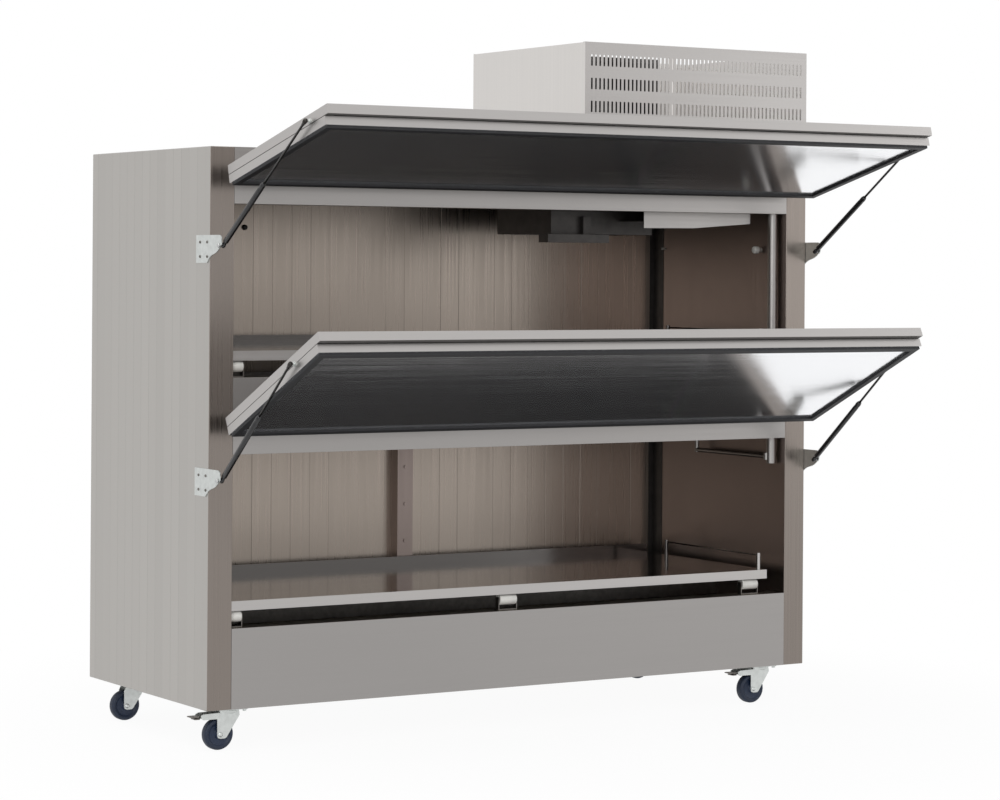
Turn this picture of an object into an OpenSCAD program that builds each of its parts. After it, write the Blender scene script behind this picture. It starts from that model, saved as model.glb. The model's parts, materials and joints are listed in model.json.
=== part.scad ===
// Two-tier proofing cabinet with lift-up flap doors, pull-out trays and a climate unit on the roof.
// The body stands on four swivel castors. Each tier has one insulated flap hinged along its top edge.
// Drawing frame: X to the right seen from the front, Y towards the back, Z up, floor at Z = 0.
// The rest pose has both flaps lifted and both trays pushed in.

/* [Cabinet body] */
// Width of the insulated body
body_w = 2325; // [1800:5:2800]
// Depth of the insulated body from front plane to back face
body_d = 897; // [700:1:1100]
// Height of the insulated body without castors and climate unit
body_h = 1760; // [1500:5:2000]
// Thickness of the insulated walls, roof and base
wall_t = 84; // [60:1:110]
// Thickness of the stainless sheet on every panel
skin_t = 1.2; // [0.8:0.1:2]
// Height of the fixed front under the lower doorway
apron_h = 253; // [180:1:320]
// Height of the fixed front above the upper doorway
lintel_h = 178; // [150:1:240]
// Vertical distance from one tier to the next
tier_pitch = 785; // [700:5:850]
// Height of the front rail between the doorways
rail_h = 241; // [180:1:300]
// Thickness of the deck between the tiers
deck_t = 60; // [40:1:90]

/* [Flap doors] */
// Full height of a flap's outer panel
flap_h = 664; // [560:1:720]
// Full thickness of a flap without its seal
flap_t = 58; // [45:1:70]
// Body width left free at each end of a flap
flap_side_gap = 27; // [15:1:40]
// Distance of the hinge axis in front of the body
hinge_out = 50; // [45:1:70]
// Opening angle of the upper flap in degrees
upper_open = 104.3; // [80:0.1:120]
// Opening angle of the lower flap in degrees
lower_open = 115; // [80:0.1:120]
// Depth of the door seal
seal_t = 7.5; // [5:0.5:7.5]

/* [Gas struts] */
// Radius of the strut cylinder
tube_r = 9; // [7:0.5:11]
// Distance from the bracket ball to the far end of the cylinder
tube_end = 332; // [280:1:340]
// Radius of the piston rod
rod_r = 4; // [3:0.5:5]
// Length of the piston rod from piston to eye centre
rod_len = 328; // [280:1:330]

/* [Trays] */
// Height of a tray's folded rim
tray_rim = 31; // [20:1:45]
// Depth of a tray from front to back
tray_d = 740; // [600:5:760]
// Radius of the nylon rollers
roller_r = 18; // [14:1:20]

/* [Climate unit] */
// Width of the climate unit's casing
climate_w = 932; // [700:2:1100]
// Depth of the climate unit's casing
climate_d = 727; // [500:1:800]
// Height of the climate unit's casing
climate_h = 389; // [300:1:450]
// Number of slots in each louvre row
slot_count = 54; // [30:1:60]

/* [Castors] */
// Radius of the castor wheels
wheel_r = 50; // [40:1:60]
// Width of the castor wheels
wheel_w = 32; // [24:1:36]
// Height from the floor to the underside of the body
castor_h = 130; // [115:1:160]
// Distance of the wheel axle behind the swivel axis
castor_trail = 38; // [25:1:45]

/* [Hidden] */
// Smooth curves
$fn = 48;
// A cut runs past the surface it opens by this much
past = 1;
// Radial play of every pin that something turns on
run_play = 0.05;
// Gap left between faces that move past each other
face_gap = 0.5;
// Half the body width and the inner half width
hw = body_w / 2;
in_w = hw - wall_t;
// Inner face of the back panel
in_d = body_d - wall_t;
// Doorway heights
low_top = body_h - lintel_h - tier_pitch;
up_bottom = low_top + rail_h;
// How far the upper tray and its rollers lie above the lower ones
tray_rise = up_bottom - apron_h;
// Underside of the deck between the tiers
deck_z = low_top + 73;
// Hinge axis heights
up_axis_z = body_h - 82;
low_axis_z = up_axis_z - tier_pitch;
// Flap section, measured from the hinge axis: z down from the axis, y towards the body
flap_hw = hw - flap_side_gap;
flap_top = 20;
flap_tip = flap_top + flap_h;
flap_front = 16;
flap_back = flap_t - flap_front;
band_t = 29;
groove_t = 2;
tip_back = 20;
// Front-to-back position of the upper flap's lip when it is lifted
lip_y = -hinge_out - flap_tip * sin(upper_open) + (band_t - flap_front) * cos(upper_open);
// Row origin: middle of the space that the open cabinet takes up from front to back
mid_y = (body_d + lip_y) / 2;
// Hinge positions along a flap
hinge_x = [-hw + 202, 0, hw - 202];
pin_r = 5;
knuckle_r = 8;
// Gas strut pivots: bracket stud from the hinge axis, flap stud from the hinge axis
strut_x = hw - 11;
ball_y = -70;
up_ball_z = up_axis_z - 228;
low_ball_z = low_axis_z - 171;
up_stud = [5, -572];
low_stud = [14, -513];
stud_r = 4;
eye_r = 8;
eye_t = 10;
// Brackets that carry the struts, on the outer side faces
bracket_t = 3;
bracket_h = 87;
// Tray position
tray_x0 = -hw + 92;
tray_x1 = hw - 145;
tray_y0 = 20;
tray_y1 = tray_y0 + tray_d;
tray_z = apron_h + 52;
tray_sheet = 1.5;
guard_x = hw - 175;
guard_h = 59;
guard_back_y = 590;
// Rollers: left end and length of each one along X
roller_x = [[-hw + 92, 40], [-76.5, 65], [hw - 245, 65]];
roller_y = [40, 420];
roller_play = 0.1;
roller_z = tray_z - roller_r - roller_play;
axle_r = 4;
ear_t = 3;
beam = 40;
// Pipes
riser = [hw - 107, 50];
riser_r = 17;
riser_bottom = low_top - 91;
climate_x0 = hw - climate_w;
climate_z = body_h;
// Castor positions, their swivel axes
castor_xy = [[-hw + 99, 50], [hw - 156, 50], [-hw + 99, 748], [hw - 156, 748]];
axle_z = -castor_h + wheel_r;
kingpin_r = 6;
fork_top = -3.1;
fork_in = wheel_w / 2 + 3;
fork_t = 4;

// Moves from body coordinates (front plane, underside) to the row frame
module place() {
  translate([0, -mid_y, castor_h]) children();
}

// A block given by its low and high corners
module block(low, high) {
  translate(low) cube(high - low);
}

// A closed sheet-metal box, hollow for its foam
module sheet_box(low, high) {
  s = [skin_t, skin_t, skin_t];
  difference() {
    block(low, high);
    block(low + s, high - s);
  }
}

// The foam that fills such a box
module foam(low, high) {
  s = [skin_t, skin_t, skin_t];
  block(low + s, high - s);
}

// A rod along X
module rod_x(x0, x1, y, z, r) {
  translate([x0, y, z]) rotate([0, 90, 0]) cylinder(r = r, h = x1 - x0);
}

// A rod along Y
module rod_y(x, y0, y1, z, r) {
  translate([x, y0, z]) rotate([-90, 0, 0]) cylinder(r = r, h = y1 - y0);
}

// Passage of the steam riser through a panel
module riser_hole() {
  translate([riser[0], riser[1], 0]) cylinder(r = riser_r + face_gap, h = body_h + past);
}

// ---------------------------------------------------------------- insulated body

module side_panels() {
  color("silver") place() {
    sheet_box([-hw, 0, 0], [-in_w, body_d, body_h]);
    sheet_box([in_w, 0, 0], [hw, body_d, body_h]);
  }
}

module back_panel() {
  color("silver") place() sheet_box([-in_w, in_d, 0], [in_w, body_d, body_h]);
}

module roof_panel() {
  color("silver") place() sheet_box([-in_w, wall_t, body_h - wall_t], [in_w, in_d, body_h]);
}

module base_panel() {
  color("silver") place() sheet_box([-in_w, wall_t, 0], [in_w, in_d, wall_t]);
}

module mid_deck() {
  color("silver") place() sheet_box([-in_w, wall_t, deck_z], [in_w, in_d, deck_z + deck_t]);
}

module top_header() {
  color("silver") place() difference() {
    sheet_box([-in_w, 0, body_h - lintel_h], [in_w, wall_t, body_h]);
    riser_hole();
  }
}

module front_aprons() {
  color("silver") place() {
    sheet_box([-in_w, 0, 0], [in_w, wall_t, apron_h]);
    difference() {
      sheet_box([-in_w, 0, low_top], [in_w, wall_t, up_bottom]);
      riser_hole();
    }
  }
}

module insulation_cores() {
  color("khaki") place() {
    foam([-hw, 0, 0], [-in_w, body_d, body_h]);
    foam([in_w, 0, 0], [hw, body_d, body_h]);
    foam([-in_w, in_d, 0], [in_w, body_d, body_h]);
    foam([-in_w, wall_t, body_h - wall_t], [in_w, in_d, body_h]);
    foam([-in_w, wall_t, 0], [in_w, in_d, wall_t]);
    foam([-in_w, wall_t, deck_z], [in_w, in_d, deck_z + deck_t]);
    foam([-in_w, 0, 0], [in_w, wall_t, apron_h]);
    difference() {
      foam([-in_w, 0, body_h - lintel_h], [in_w, wall_t, body_h]);
      riser_hole();
    }
    difference() {
      foam([-in_w, 0, low_top], [in_w, wall_t, up_bottom]);
      riser_hole();
    }
  }
}

// ---------------------------------------------------------------- hinges

// Fixed leaf with its arm, middle knuckle and pin, hinge axis at z = 0, front plane at y = 0
module body_hinge() {
  leaf_t = 4;
  arm_hw = 20;
  pin_hw = 42;
  block([-40, -leaf_t, -18], [40, 0, 42]);
  block([-arm_hw, -hinge_out, -knuckle_r], [arm_hw, -leaf_t, knuckle_r]);
  rod_x(-arm_hw, arm_hw, -hinge_out, 0, knuckle_r);
  rod_x(-pin_hw, pin_hw, -hinge_out, 0, pin_r);
}

module body_hinges() {
  color("gray") place() {
    for (x = hinge_x) {
      translate([x, 0, up_axis_z]) body_hinge();
      translate([x, 0, low_axis_z]) body_hinge();
    }
  }
}

// Moving leaf on the top edge of a flap, hinge axis at the origin
module flap_hinge() {
  leaf_t = 4;
  lug_in = 20 + face_gap;
  lug_out = 42;
  difference() {
    union() {
      block([-lug_out, -10, -flap_top], [lug_out, 30, -flap_top + leaf_t]);
      for (s = [-1, 1]) {
        x0 = s > 0 ? lug_in : -lug_out;
        block([x0, -knuckle_r, -flap_top], [x0 + lug_out - lug_in, knuckle_r, 0]);
        rod_x(x0, x0 + lug_out - lug_in, 0, 0, knuckle_r);
      }
    }
    rod_x(-lug_out - past, lug_out + past, 0, 0, pin_r + run_play);
  }
}

// ---------------------------------------------------------------- flap doors

// Puts a closed flap, drawn from its hinge axis, at its opening angle
module hang(axis_z, angle) {
  place() translate([0, -hinge_out, axis_z]) rotate([-angle, 0, 0]) children();
}

// Outer pan, open towards the foam
module flap_skin() {
  back = band_t - flap_front;
  difference() {
    block([-flap_hw, -flap_front, -flap_tip], [flap_hw, back, -flap_top]);
    block([-flap_hw + skin_t, -flap_front + skin_t, -flap_tip + skin_t],
          [flap_hw - skin_t, back + past, -flap_top - skin_t]);
  }
}

// Inner pan, set back at the lip and open towards the foam
module flap_liner() {
  front = band_t - flap_front + groove_t;
  difference() {
    block([-flap_hw, front, -flap_tip + tip_back], [flap_hw, flap_back, -flap_top]);
    block([-flap_hw + skin_t, front - past, -flap_tip + tip_back + skin_t],
          [flap_hw - skin_t, flap_back - skin_t, -flap_top - skin_t]);
  }
}

// Foam between the pans, stepped to leave room for the dark edge strip
module flap_core() {
  y1 = band_t - flap_front;
  y2 = y1 + groove_t;
  block([-flap_hw + skin_t, -flap_front + skin_t, -flap_tip + skin_t],
        [flap_hw - skin_t, y1, -flap_top - skin_t]);
  block([-flap_hw + 20, y1, -flap_tip + tip_back + 20], [flap_hw - 20, y2, -flap_top - 20]);
  block([-flap_hw + skin_t, y2, -flap_tip + tip_back + skin_t],
        [flap_hw - skin_t, flap_back - skin_t, -flap_top - skin_t]);
}

// Rectangular ring: outer inset from the liner's outline, width, and its two faces
module flap_ring(inset, width, y0, y1) {
  x = flap_hw - inset;
  z0 = -flap_tip + tip_back + inset;
  z1 = -flap_top - inset;
  difference() {
    block([-x, y0, z0], [x, y1, z1]);
    block([-x + width, y0 - past, z0 + width], [x - width, y1 + past, z1 - width]);
  }
}

// Door seal on the liner and the dark strip between the two pans
module flap_seal() {
  y1 = band_t - flap_front;
  flap_ring(6, 22, flap_back, flap_back + seal_t);
  flap_ring(6, 14, y1, y1 + groove_t);
}

// Moving hinge leaves and the studs that the struts push on
module flap_fittings(stud) {
  for (x = hinge_x) translate([x, 0, 0]) flap_hinge();
  stud_end = strut_x - eye_t / 2 - 1;
  for (s = [-1, 1]) {
    rod_x(s > 0 ? flap_hw : -stud_end, s > 0 ? stud_end : -flap_hw, stud[0], stud[1], stud_r);
    rod_x(s > 0 ? flap_hw : -flap_hw - 3, s > 0 ? flap_hw + 3 : -flap_hw, stud[0], stud[1], eye_r);
  }
}

module upper_flap_skin() {
  color("silver") hang(up_axis_z, upper_open) flap_skin();
}

module upper_flap_liner() {
  color("silver") hang(up_axis_z, upper_open) flap_liner();
}

module upper_flap_core() {
  color("khaki") hang(up_axis_z, upper_open) flap_core();
}

module upper_flap_seal() {
  color("black") hang(up_axis_z, upper_open) flap_seal();
}

module upper_flap_fittings() {
  color("gray") hang(up_axis_z, upper_open) flap_fittings(up_stud);
}

module lower_flap_skin() {
  color("silver") hang(low_axis_z, lower_open) flap_skin();
}

module lower_flap_liner() {
  color("silver") hang(low_axis_z, lower_open) flap_liner();
}

module lower_flap_core() {
  color("khaki") hang(low_axis_z, lower_open) flap_core();
}

module lower_flap_seal() {
  color("black") hang(low_axis_z, lower_open) flap_seal();
}

module lower_flap_fittings() {
  color("gray") hang(low_axis_z, lower_open) flap_fittings(low_stud);
}

// ---------------------------------------------------------------- gas struts

// Flap stud in body coordinates, seen along X as [y, z]
function stud_at(axis_z, angle, stud) = [
  -hinge_out + stud[0] * cos(angle) + stud[1] * sin(angle),
  axis_z - stud[0] * sin(angle) + stud[1] * cos(angle)
];

// Points a strut drawn along +Z from the bracket stud to the flap stud
module aim(side, ball_z, to) {
  dy = to[0] - ball_y;
  dz = to[1] - ball_z;
  place() translate([side * strut_x, ball_y, ball_z]) rotate([atan2(dz, dy) - 90, 0, 0]) children();
}

function strut_len(ball_z, to) = norm([to[0] - ball_y, to[1] - ball_z]);

// Cylinder with its socket eye and rod guide
module strut_tube() {
  difference() {
    union() {
      rod_x(-eye_t / 2, eye_t / 2, 0, 0, eye_r);
      cylinder(r = 5, h = 13);
      translate([0, 0, 12]) cylinder(r = tube_r, h = tube_end - 12);
    }
    rod_x(-eye_t, eye_t, 0, 0, stud_r + run_play);
    translate([0, 0, 15]) cylinder(r = tube_r - 1.5, h = tube_end - 20.5);
    translate([0, 0, 20]) cylinder(r = rod_r + run_play, h = tube_end);
  }
}

// Piston rod with its piston and socket eye
module strut_rod(length) {
  difference() {
    union() {
      translate([0, 0, length - rod_len]) cylinder(r = rod_r, h = rod_len - 6);
      translate([0, 0, length - rod_len]) cylinder(r = tube_r - 1.8, h = 6);
      rod_x(-eye_t / 2, eye_t / 2, 0, length, eye_r);
    }
    rod_x(-eye_t, eye_t, 0, length, stud_r + run_play);
  }
}

up_to = stud_at(up_axis_z, upper_open, up_stud);
low_to = stud_at(low_axis_z, lower_open, low_stud);

module upper_left_tube() {
  color("dimgray") aim(-1, up_ball_z, up_to) strut_tube();
}

module upper_right_tube() {
  color("dimgray") aim(1, up_ball_z, up_to) strut_tube();
}

module lower_left_tube() {
  color("dimgray") aim(-1, low_ball_z, low_to) strut_tube();
}

module lower_right_tube() {
  color("dimgray") aim(1, low_ball_z, low_to) strut_tube();
}

module upper_left_rod() {
  color("gray") aim(-1, up_ball_z, up_to) strut_rod(strut_len(up_ball_z, up_to));
}

module upper_right_rod() {
  color("gray") aim(1, up_ball_z, up_to) strut_rod(strut_len(up_ball_z, up_to));
}

module lower_left_rod() {
  color("gray") aim(-1, low_ball_z, low_to) strut_rod(strut_len(low_ball_z, low_to));
}

module lower_right_rod() {
  color("gray") aim(1, low_ball_z, low_to) strut_rod(strut_len(low_ball_z, low_to));
}

// ---------------------------------------------------------------- strut brackets

screw_r = 3;
hole_play = 0.1;
bracket_screw_at = [[134, 11], [84, 11], [134, -34], [84, -34]];

// Bracket outline, seen along X, with the stud at the origin and the plate behind it
module bracket_outline() {
  tip_r = 16;
  low = -54;
  high = low + bracket_h;
  back = 92 - ball_y;
  foot = back - 75;
  steps = 16;
  // the lower edge sweeps up from the foot to the tip in a shallow S
  sweep = [for (i = [0:steps]) let (t = i / steps)
    [foot - (foot + tip_r - 2) * t, low + (2 - low) * (t + 0.09 * sin(360 * t))]];
  difference() {
    union() {
      polygon(concat([[back, high], [back, low]], sweep, [[-tip_r, high - tip_r], [0, high]]));
      translate([0, high - tip_r]) circle(r = tip_r);
    }
    for (p = bracket_screw_at) translate(p) circle(r = screw_r + hole_play);
    circle(r = stud_r + hole_play);
  }
}

// Draws one side's bracket parts in both tiers and on both sides
module at_brackets() {
  for (z = [up_ball_z, low_ball_z]) {
    translate([hw, ball_y, z]) children();
    mirror([1, 0, 0]) translate([hw, ball_y, z]) children();
  }
}

module strut_brackets() {
  color("lightgray") place() at_brackets() {
    rotate([90, 0, 90]) linear_extrude(bracket_t) bracket_outline();
  }
}

// Stud with its collar and nut, and the screws that hold a bracket
module bracket_fixings() {
  stud_in = strut_x - eye_t / 2 - face_gap - hw;
  color("gray") place() at_brackets() {
    rod_x(stud_in, bracket_t, 0, 0, stud_r);
    rod_x(strut_x + eye_t / 2 + face_gap - hw, 0, 0, 0, 7);
    rod_x(bracket_t, bracket_t + 5, 0, 0, 7);
    for (p = bracket_screw_at) rod_x(bracket_t, bracket_t + 3, p[0], p[1], 5);
    for (p = bracket_screw_at) rod_x(0, bracket_t, p[0], p[1], screw_r);
  }
}

// ---------------------------------------------------------------- trays and rollers

// Folded sheet tray with three runners under it and a guard rail at its right end
module tray() {
  top = tray_z + tray_rim;
  s = tray_sheet;
  block([tray_x0, tray_y0, top - s], [tray_x1, tray_y1, top]);
  block([tray_x0, tray_y0, tray_z], [tray_x1, tray_y0 + s, top]);
  block([tray_x0, tray_y0, tray_z], [tray_x0 + s, tray_y1, top]);
  block([tray_x1 - s, tray_y0, tray_z], [tray_x1, tray_y1, top]);
  block([tray_x0, tray_y1 - s, tray_z], [tray_x1, tray_y1, top + 30]);
  for (r = roller_x) {
    mid = r[0] + r[1] / 2;
    difference() {
      block([mid - 18, tray_y0, tray_z], [mid + 18, tray_y1, top]);
      block([mid - 18 + s, tray_y0 + s, tray_z + s], [mid + 18 - s, tray_y1 - s, top - s]);
    }
  }
  for (y = [tray_y0 + 10, guard_back_y]) {
    translate([guard_x, y, top - s]) cylinder(r = 7, h = guard_h + s);
  }
  rod_y(guard_x, tray_y0 + 10, guard_back_y, top + guard_h - 8, 2.5);
}

module lower_tray() {
  color("silver") place() tray();
}

module upper_tray() {
  color("silver") place() translate([0, 0, tray_rise]) tray();
}

// One row of rollers on a common axis
module rollers(y) {
  for (r = roller_x) {
    translate([0, y, roller_z]) difference() {
      rod_x(r[0], r[0] + r[1], 0, 0, roller_r);
      rod_x(r[0] - past, r[0] + r[1] + past, 0, 0, axle_r + run_play);
    }
  }
}

module lower_front_rollers() {
  color("white") place() rollers(roller_y[0]);
}

module lower_rear_rollers() {
  color("white") place() rollers(roller_y[1]);
}

module upper_front_rollers() {
  color("white") place() translate([0, 0, tray_rise]) rollers(roller_y[0]);
}

module upper_rear_rollers() {
  color("white") place() translate([0, 0, tray_rise]) rollers(roller_y[1]);
}

// U-shaped roller carriers with their axles, and the cross beam under the rear row
module roller_brackets() {
  half = 10;
  color("lightgray") place() for (z = [0, tray_rise]) translate([0, 0, z]) {
    for (y = roller_y) for (r = roller_x) {
      x0 = r[0] - face_gap - ear_t;
      x1 = r[0] + r[1] + face_gap + ear_t;
      block([x0, y - half, apron_h], [x1, y + half, apron_h + ear_t]);
      block([x0, y - half, apron_h], [x0 + ear_t, y + half, roller_z + 8]);
      block([x1 - ear_t, y - half, apron_h], [x1, y + half, roller_z + 8]);
      rod_x(x0, x1, y, roller_z, axle_r);
    }
    difference() {
      block([-in_w, roller_y[1] - beam / 2, apron_h - beam], [in_w, roller_y[1] + beam / 2, apron_h]);
      block([-in_w - past, roller_y[1] - beam / 2 + 2, apron_h - beam + 2],
            [in_w + past, roller_y[1] + beam / 2 - 2, apron_h - 2]);
    }
  }
}

// ---------------------------------------------------------------- inside fittings

evap_x0 = hw - 905;
evap_x1 = hw - 485;
evap_y0 = 250;
evap_y1 = 600;
evap_z = 1505;
evap_fan_z = evap_z + 25;

// Air cooler under the ceiling: casing open below, motor boss and shaft inside, trough hung below
module evaporator_housing() {
  mid_x = (evap_x0 + evap_x1) / 2;
  mid_y2 = (evap_y0 + evap_y1) / 2;
  top = body_h - wall_t;
  color("dimgray") place() {
    difference() {
      block([evap_x0, evap_y0, evap_z], [evap_x1, evap_y1, top]);
      block([evap_x0 + 2, evap_y0 + 2, evap_z - past], [evap_x1 - 2, evap_y1 - 2, top - 2]);
    }
    translate([mid_x, mid_y2, evap_fan_z + 30]) cylinder(r = 35, h = top - 2 - evap_fan_z - 30);
    translate([mid_x, mid_y2, evap_fan_z]) cylinder(r = axle_r, h = 30);
    block([evap_x0 - 50, evap_y0 - 60, evap_z - 30], [evap_x0 + 200, evap_y0, evap_z - 2]);
    block([evap_x0 + 120, evap_y0 - 20, evap_z - 10], [evap_x0 + 150, evap_y0, evap_z + 60]);
  }
}

// Fan rotor with five pitched blades, axis along Z, hub centred on the origin
module rotor(blade_r) {
  hub_r = 22;
  difference() {
    union() {
      translate([0, 0, -12]) cylinder(r = hub_r, h = 24);
      for (i = [0:4]) rotate([0, 0, 72 * i]) translate([hub_r - 4, 0, 0]) rotate([28, 0, 0])
        block([0, -20, -1], [blade_r - hub_r, 20, 1]);
    }
    translate([0, 0, -12 - past]) cylinder(r = axle_r + run_play, h = 24 + 2 * past);
  }
}

module evaporator_fan() {
  mid_x = (evap_x0 + evap_x1) / 2;
  mid_y2 = (evap_y0 + evap_y1) / 2;
  color("black") place() translate([mid_x, mid_y2, evap_fan_z + 14]) rotor(120);
}

// Bright guard sheet in front of the air cooler, its lower edge rising to the right
module drip_tray() {
  x0 = hw - 621;
  x1 = hw - 168;
  low = 1527;
  top = body_h - wall_t;
  color("silver") place() {
    translate([0, 102, 0]) rotate([90, 0, 0]) linear_extrude(2)
      polygon([[x0, low], [x0 + 210, low + 2], [x1, low + 20], [x1, top], [x0, top]]);
    block([x0, 102, low + 22], [x1, evap_y0, low + 24]);
    block([x0, 102, top - 2], [x1, 130, top]);
  }
}

// Steam riser, condensate pipe, drain spigot and water inlet
module pipework() {
  gen_z = climate_z + 70;
  cond = [hw - 120, 480];
  cond_z = low_top - 67;
  color("silver") place() {
    difference() {
      union() {
        translate([riser[0], riser[1], riser_bottom]) cylinder(r = riser_r, h = gen_z - riser_bottom);
        translate([riser[0], riser[1], gen_z]) sphere(r = riser_r);
        rod_y(riser[0], riser[1], 300, gen_z, riser_r);
      }
      translate([riser[0], riser[1], riser_bottom - past]) cylinder(r = riser_r - 2, h = 20);
    }
    rod_y(cond[0], 68, cond[1], cond_z, 8);
    translate([cond[0], cond[1], cond_z - 8]) cylinder(r = 8, h = deck_z - cond_z + 8);
    translate([cond[0], 60, cond_z - 12]) cylinder(r = 10, h = 24);
    difference() {
      union() {
        translate([600, 700, -45]) cylinder(r = 16, h = 45);
        translate([600, 700, -3]) cylinder(r = 30, h = 3);
      }
      translate([600, 700, -45 - past]) cylinder(r = 14, h = 30);
    }
    difference() {
      union() {
        rod_y(riser[0], 640, 762, gen_z, 13);
        rod_y(riser[0], climate_d, climate_d + 3, gen_z, 20);
      }
      rod_y(riser[0], 745, 763, gen_z, 10);
    }
  }
}

// Sensor on the back wall, knob and cable clip on the right wall
module wall_fittings() {
  color("white") place() {
    rod_y(-hw + 529, in_d - 10, in_d, body_h - 240, 10);
    rod_x(in_w - 30, in_w, 148, body_h - 304, 9);
    rod_x(in_w - 34, in_w - 22, 148, body_h - 304, 13);
    rod_x(in_w - 18, in_w, 740, body_h - 298, 4);
  }
}

// Pilaster on the back wall of the lower tier with its screws
module rear_upright() {
  x0 = -hw + 1118;
  front = in_d - 42;
  color("silver") place() {
    difference() {
      block([x0, front, wall_t], [x0 + 62, in_d, deck_z]);
      block([x0 + 2, front + 2, wall_t - past], [x0 + 60, in_d + past, deck_z + past]);
    }
    for (z = [160:130:deck_z - 60]) rod_y(x0 + 31, front - 3, front, z, 6);
  }
}

// ---------------------------------------------------------------- climate unit

slot_pitch = 16.6;
slot_w = 6.5;
slot_h = 38;
slot_z = [153, 230, 309];

module climate_front() {
  s = 1.5;
  first = (climate_w - (slot_count - 1) * slot_pitch) / 2;
  color("silver") place() translate([climate_x0, 0, climate_z]) {
    translate([0, s, 0]) rotate([90, 0, 0]) linear_extrude(s) difference() {
      square([climate_w, climate_h]);
      for (z = slot_z) for (i = [0:slot_count - 1])
        translate([first + i * slot_pitch - slot_w / 2, z]) square([slot_w, slot_h]);
    }
    block([0, s, climate_h - s], [climate_w, 15, climate_h]);
  }
}

module climate_walls() {
  s = 1.5;
  color("silver") place() translate([climate_x0, 0, climate_z]) {
    block([0, s, 0], [s, climate_d - s, climate_h - s]);
    block([climate_w - s, s, 0], [climate_w, climate_d - s, climate_h - s]);
    difference() {
      block([0, climate_d - s, 0], [climate_w, climate_d, climate_h]);
      rod_y(riser[0] - climate_x0, climate_d - 10, climate_d + 10, 70, 13.2);
    }
    block([357 - 15, s, 2], [357 + 15, 2 * s, climate_h - s]);
  }
}

// Hermetic compressor on four feet
module compressor() {
  x = climate_x0 + 190;
  y = 480;
  color("black") place() translate([x, y, climate_z]) {
    translate([0, 0, 12]) cylinder(r = 85, h = 150);
    translate([0, 0, 162]) cylinder(r1 = 85, r2 = 55, h = 35);
    for (i = [-1, 1]) for (j = [-1, 1]) translate([i * 75, j * 75, 0]) cylinder(r = 12, h = 14);
    block([-85, -85, 10], [85, 85, 14]);
  }
}

cond_fan_y = 190;
cond_mid = [climate_x0 + 180, 190];

// Finned coil with its frame, motor and shaft
module condenser() {
  x0 = climate_x0 + 20;
  x1 = climate_x0 + 340;
  color("dimgray") place() {
    difference() {
      block([x0, 60, climate_z], [x1, 140, climate_z + 345]);
      block([x0 + 12, 59, climate_z + 14], [x1 - 12, 141, climate_z + 331]);
    }
    for (i = [0:28]) {
      block([x0 + 12 + i * 10.4, 66, climate_z + 14], [x0 + 14 + i * 10.4, 134, climate_z + 331]);
    }
    for (z = [40:45:310]) rod_x(x0 + 6, x1 - 6, 100, climate_z + z, 5);
    rod_y(cond_mid[0], 140, cond_fan_y + 14, climate_z + cond_mid[1], axle_r);
    rod_y(cond_mid[0], 134, 165, climate_z + cond_mid[1], 30);
  }
}

module condenser_fan() {
  color("black") place() translate([cond_mid[0], cond_fan_y - 9, climate_z + cond_mid[1]])
    rotate([90, 0, 0]) rotor(130);
}

module electrical_box() {
  low = [climate_x0 + 470, 350, climate_z];
  high = [climate_x0 + 690, 600, climate_z + 135];
  s = [2, 2, 2];
  color("gray") place() difference() {
    block(low, high);
    block(low + s, high - s);
  }
}

// Steam generator: horizontal vessel on two saddles
module steam_generator() {
  gen_z = climate_z + 70;
  color("silver") place() {
    difference() {
      rod_y(riser[0], 300, 640, gen_z, 60);
      rod_y(riser[0], 303, 637, gen_z, 57);
    }
    for (y = [360, 560]) block([riser[0] - 35, y, climate_z], [riser[0] + 35, y + 20, gen_z - 58]);
  }
}

// ---------------------------------------------------------------- castors

// Top plate with kingpin and bolt heads, swivel axis at the origin, underside of the body at z = 0
module castor_plate() {
  block([-50, -42, -3], [50, 42, 0]);
  translate([0, 0, -17]) cylinder(r = kingpin_r, h = 15);
  for (i = [-1, 1]) for (j = [-1, 1]) translate([i * 40, j * 33, -9]) cylinder(r = 6.5, h = 7);
}

module castor_plates() {
  color("lightgray") place() for (p = castor_xy) translate([p[0], p[1], 0]) castor_plate();
}

// Fork with its head, two legs and the wheel axle; the wheel trails towards -X.
// A fork with a brake has cheeks that reach over the wheel.
module fork(brake = false) {
  difference() {
    union() {
      translate([0, 0, fork_top - 13]) cylinder(r = 29, h = 13);
      for (s = [0, 1]) mirror([0, s, 0]) translate([0, fork_in + fork_t, 0]) rotate([90, 0, 0])
        linear_extrude(fork_t) union() {
          polygon([[-34, fork_top], [26, fork_top], [29, -22], [-castor_trail + 22, axle_z - 9],
                   [-castor_trail + 17, axle_z - 13], [-castor_trail, axle_z - 13],
                   [-castor_trail - 11, axle_z - 5], [-castor_trail - 11, -30]]);
          if (brake) polygon([[-30, fork_top], [-38, -10.5], [-96, -12], [-106, -17], [-104, -27],
                              [-96, -31], [-30, -31]]);
        }
      translate([-castor_trail, -fork_in - fork_t - 5, axle_z]) rotate([-90, 0, 0])
        cylinder(r = 6, h = 2 * (fork_in + fork_t + 5));
    }
    translate([0, 0, -30]) cylinder(r = kingpin_r + run_play, h = 30);
  }
}

// Wheel with rounded tread and recessed hub, axis along Y
module wheel() {
  h = wheel_w / 2;
  rotate([90, 0, 0]) rotate_extrude() polygon([
    [6 + run_play, -h - 2], [14, -h - 2], [16, -h + 5], [32, -h + 5], [36, -h],
    [wheel_r - 6, -h], [wheel_r - 1.5, -h + 4], [wheel_r, -h + 9], [wheel_r, h - 9],
    [wheel_r - 1.5, h - 4], [wheel_r - 6, h], [36, h], [32, h - 5], [16, h - 5],
    [14, h + 2], [6 + run_play, h + 2]
  ]);
}

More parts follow.
